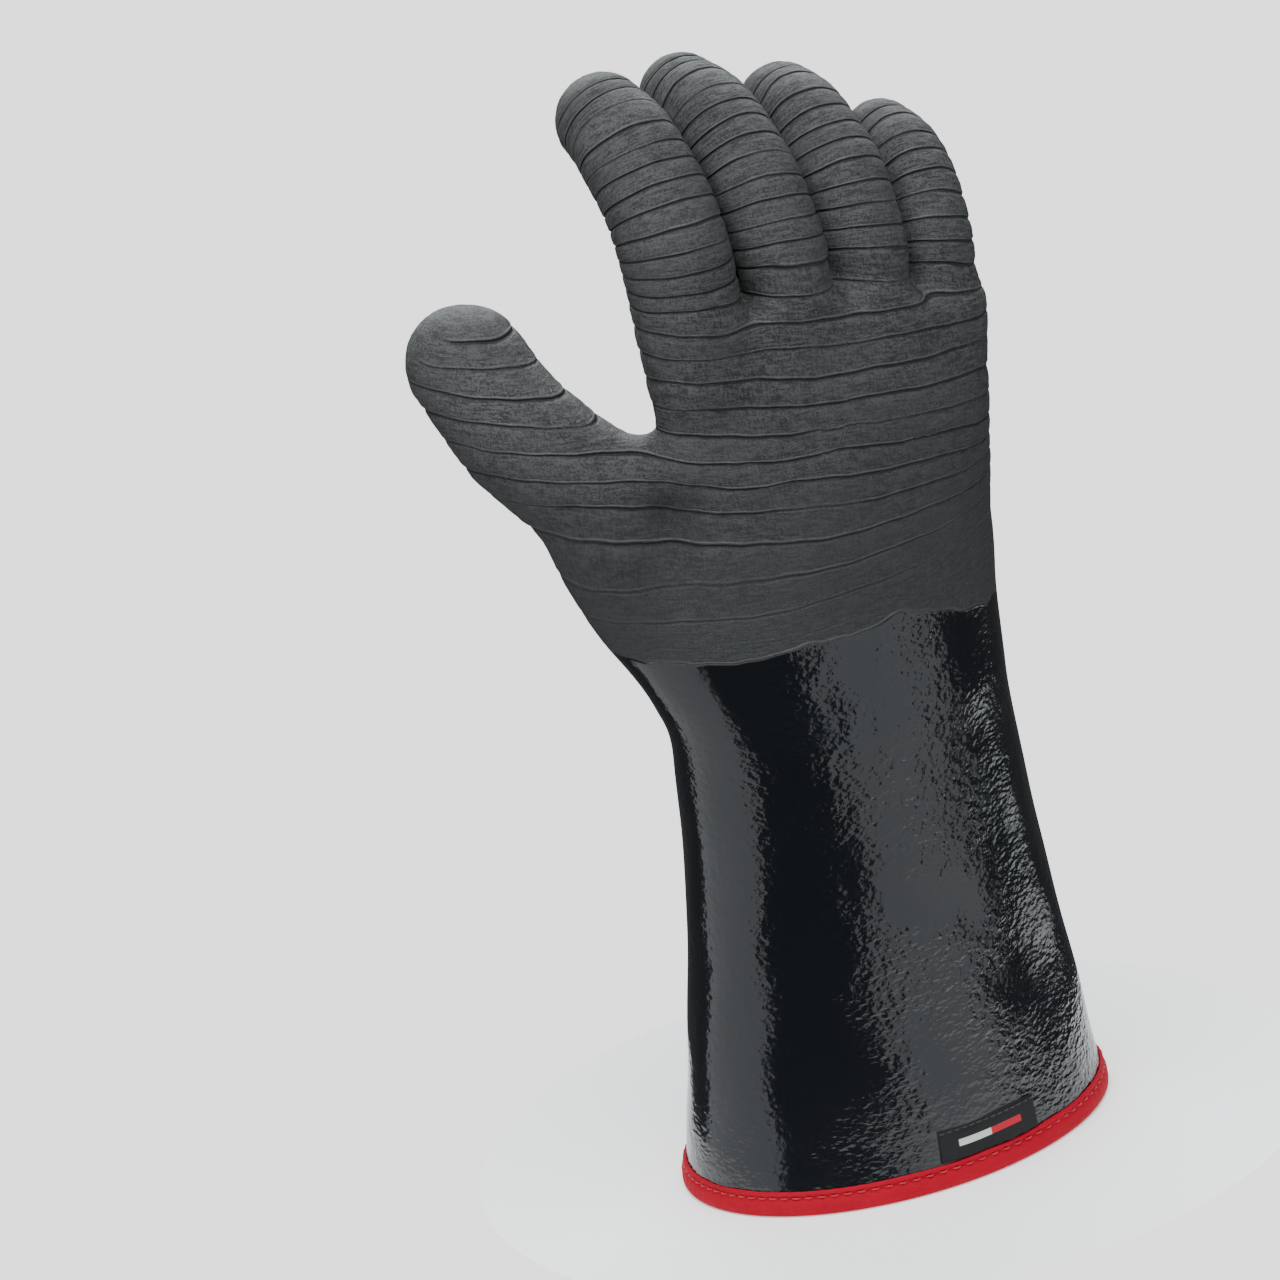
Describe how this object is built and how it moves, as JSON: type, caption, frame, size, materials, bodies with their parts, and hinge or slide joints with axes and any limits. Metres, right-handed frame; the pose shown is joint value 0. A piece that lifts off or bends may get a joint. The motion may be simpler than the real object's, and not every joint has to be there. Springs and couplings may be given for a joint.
{
  "type": "heat resistant glove",
  "caption": "Long-cuffed heat resistant glove for the right hand: dipped rubber shell over an insulating liner, red bound hem, blank woven label and a webbing hang loop.",
  "frame": {"origin": "centre of the cuff's mouth on the plane of its hem", "axes": "+Z from the hem to the fingertips, -Y the back of the hand, +Y the palm side, +X towards the little finger"},
  "size_m": [0.1674, 0.1338, 0.3415],
  "materials": {
    "dipped_gloss": "smooth gloss dip",
    "dipped_crinkle": "matt crinkled dip",
    "insulation_felt": "needled felt",
    "cotton_lining": "soft knit",
    "binding_tape": "woven tape",
    "binding_thread": "lock stitch",
    "label_weave": "woven, blank",
    "dark_thread": "lock stitch",
    "loop_webbing": "woven tape"
  },
  "bodies": {
    "cuff": {"gauntlet_shell": "dipped_gloss", "gauntlet_insulation": "insulation_felt", "gauntlet_lining": "cotton_lining", "wrist_fold": "dipped_gloss", "cuff_binding": "binding_tape", "binding_stitches": "binding_thread", "cuff_label": "label_weave", "label_stitches": "dark_thread", "hang_loop_tails": "loop_webbing", "loop_stitches": "dark_thread"},
    "loop": {"hang_loop": "loop_webbing"},
    "hand": {"hand_shell": "dipped_crinkle", "hand_liner": "insulation_felt", "thumb_root_fold": "dipped_crinkle", "index_root_fold": "dipped_crinkle", "middle_root_fold": "dipped_crinkle", "ring_root_fold": "dipped_crinkle", "little_root_fold": "dipped_crinkle"},
    "index_base": {"index_base_shell": "dipped_crinkle", "index_base_liner": "insulation_felt", "index_middle_fold": "dipped_crinkle"},
    "index_middle": {"index_middle_shell": "dipped_crinkle", "index_middle_liner": "insulation_felt", "index_end_fold": "dipped_crinkle"},
    "index_tip": {"index_tip_shell": "dipped_crinkle", "index_tip_liner": "insulation_felt"},
    "middle_base": {"middle_base_shell": "dipped_crinkle", "middle_base_liner": "insulation_felt", "middle_middle_fold": "dipped_crinkle"},
    "middle_middle": {"middle_middle_shell": "dipped_crinkle", "middle_middle_liner": "insulation_felt", "middle_end_fold": "dipped_crinkle"},
    "middle_tip": {"middle_tip_shell": "dipped_crinkle", "middle_tip_liner": "insulation_felt"},
    "ring_base": {"ring_base_shell": "dipped_crinkle", "ring_base_liner": "insulation_felt", "ring_middle_fold": "dipped_crinkle"},
    "ring_middle": {"ring_middle_shell": "dipped_crinkle", "ring_middle_liner": "insulation_felt", "ring_end_fold": "dipped_crinkle"},
    "ring_tip": {"ring_tip_shell": "dipped_crinkle", "ring_tip_liner": "insulation_felt"},
    "little_base": {"little_base_shell": "dipped_crinkle", "little_base_liner": "insulation_felt", "little_middle_fold": "dipped_crinkle"},
    "little_middle": {"little_middle_shell": "dipped_crinkle", "little_middle_liner": "insulation_felt", "little_end_fold": "dipped_crinkle"},
    "little_tip": {"little_tip_shell": "dipped_crinkle", "little_tip_liner": "insulation_felt"},
    "thumb_base": {"thumb_base_shell": "dipped_crinkle", "thumb_base_liner": "insulation_felt", "thumb_middle_fold": "dipped_crinkle"},
    "thumb_tip": {"thumb_tip_shell": "dipped_crinkle", "thumb_tip_liner": "insulation_felt"}
  },
  "joints": [
    {"name": "wrist", "type": "hinge", "parent": "cuff", "child": "hand", "pos_m": [0, 0, 0.14], "axis": [-1, 0, 0], "range_deg": [-25, 30], "stiffness_Nm_per_rad": 1.5, "deforming": ["wrist_fold"]},
    {"name": "loop_swing", "type": "hinge", "parent": "cuff", "child": "loop", "pos_m": [0.04369, 0.0433, 0.0012], "axis": [0.8628, -0.5056, 0], "range_deg": [0, 70], "stiffness_Nm_per_rad": 0.02},
    {"name": "index_root", "type": "hinge", "parent": "hand", "child": "index_base", "pos_m": [-0.0269, 0.0008, 0.278], "axis": [-0.9994, 0, -0.0349], "range_deg": [-18, 40], "stiffness_Nm_per_rad": 0.3, "deforming": ["index_root_fold"]},
    {"name": "index_middle", "type": "hinge", "parent": "index_base", "child": "index_middle", "pos_m": [-0.0277, 0.004, 0.30076], "axis": [-0.9994, 0, -0.0349], "range_deg": [-26, 40], "stiffness_Nm_per_rad": 0.3, "deforming": ["index_middle_fold"]},
    {"name": "index_end", "type": "hinge", "parent": "index_middle", "child": "index_tip", "pos_m": [-0.0284, 0.01759, 0.3209], "axis": [-0.9994, 0, -0.0349], "range_deg": [-24, 25], "stiffness_Nm_per_rad": 0.2, "deforming": ["index_end_fold"]},
    {"name": "middle_root", "type": "hinge", "parent": "hand", "child": "middle_base", "pos_m": [0.0046, -0.0015, 0.281], "axis": [-0.9998, 0, 0.0175], "range_deg": [-34, 40], "stiffness_Nm_per_rad": 0.3, "deforming": ["middle_root_fold"]},
    {"name": "middle_middle", "type": "hinge", "parent": "middle_base", "child": "middle_middle", "pos_m": [0.00498, 0.00826, 0.30292], "axis": [-0.9998, 0, 0.0175], "range_deg": [-26, 40], "stiffness_Nm_per_rad": 0.3, "deforming": ["middle_middle_fold"]},
    {"name": "middle_end", "type": "hinge", "parent": "middle_middle", "child": "middle_tip", "pos_m": [0.00524, 0.02588, 0.3177], "axis": [-0.9998, 0, 0.0175], "range_deg": [-26, 25], "stiffness_Nm_per_rad": 0.2, "deforming": ["middle_end_fold"]},
    {"name": "ring_root", "type": "hinge", "parent": "hand", "child": "ring_base", "pos_m": [0.034, 0.001, 0.273], "axis": [-0.9962, 0, 0.0872], "range_deg": [-32, 40], "stiffness_Nm_per_rad": 0.3, "deforming": ["ring_root_fold"]},
    {"name": "ring_middle", "type": "hinge", "parent": "ring_base", "child": "ring_middle", "pos_m": [0.03562, 0.00849, 0.29147], "axis": [-0.9962, 0, 0.0872], "range_deg": [-27, 40], "stiffness_Nm_per_rad": 0.3, "deforming": ["ring_middle_fold"]},
    {"name": "ring_end", "type": "hinge", "parent": "ring_middle", "child": "ring_tip", "pos_m": [0.03685, 0.02472, 0.30552], "axis": [-0.9962, 0, 0.0872], "range_deg": [-28, 25], "stiffness_Nm_per_rad": 0.2, "deforming": ["ring_end_fold"]},
    {"name": "little_root", "type": "hinge", "parent": "hand", "child": "little_base", "pos_m": [0.0603, 0.0042, 0.26], "axis": [-0.9877, 0, 0.1564], "range_deg": [-26, 40], "stiffness_Nm_per_rad": 0.3, "deforming": ["little_root_fold"]},
    {"name": "little_middle", "type": "hinge", "parent": "little_base", "child": "little_middle", "pos_m": [0.06271, 0.00861, 0.27519], "axis": [-0.9877, 0, 0.1564], "range_deg": [-28, 40], "stiffness_Nm_per_rad": 0.3, "deforming": ["little_middle_fold"]},
    {"name": "little_end", "type": "hinge", "parent": "little_middle", "child": "little_tip", "pos_m": [0.0646, 0.02028, 0.28713], "axis": [-0.9877, 0, 0.1564], "range_deg": [-26, 25], "stiffness_Nm_per_rad": 0.2, "deforming": ["little_end_fold"]},
    {"name": "thumb_root", "type": "hinge", "parent": "hand", "child": "thumb_base", "pos_m": [-0.0556, 0.0222, 0.2175], "axis": [-0.3472, 0.6943, -0.6304], "range_deg": [-12, 10], "stiffness_Nm_per_rad": 0.5, "deforming": ["thumb_root_fold"]},
    {"name": "thumb_middle", "type": "hinge", "parent": "thumb_base", "child": "thumb_tip", "pos_m": [-0.06893, 0.03553, 0.23953], "axis": [-0.3472, 0.6943, -0.6304], "range_deg": [-16, 25], "stiffness_Nm_per_rad": 0.3, "deforming": ["thumb_middle_fold"]}
  ]
}
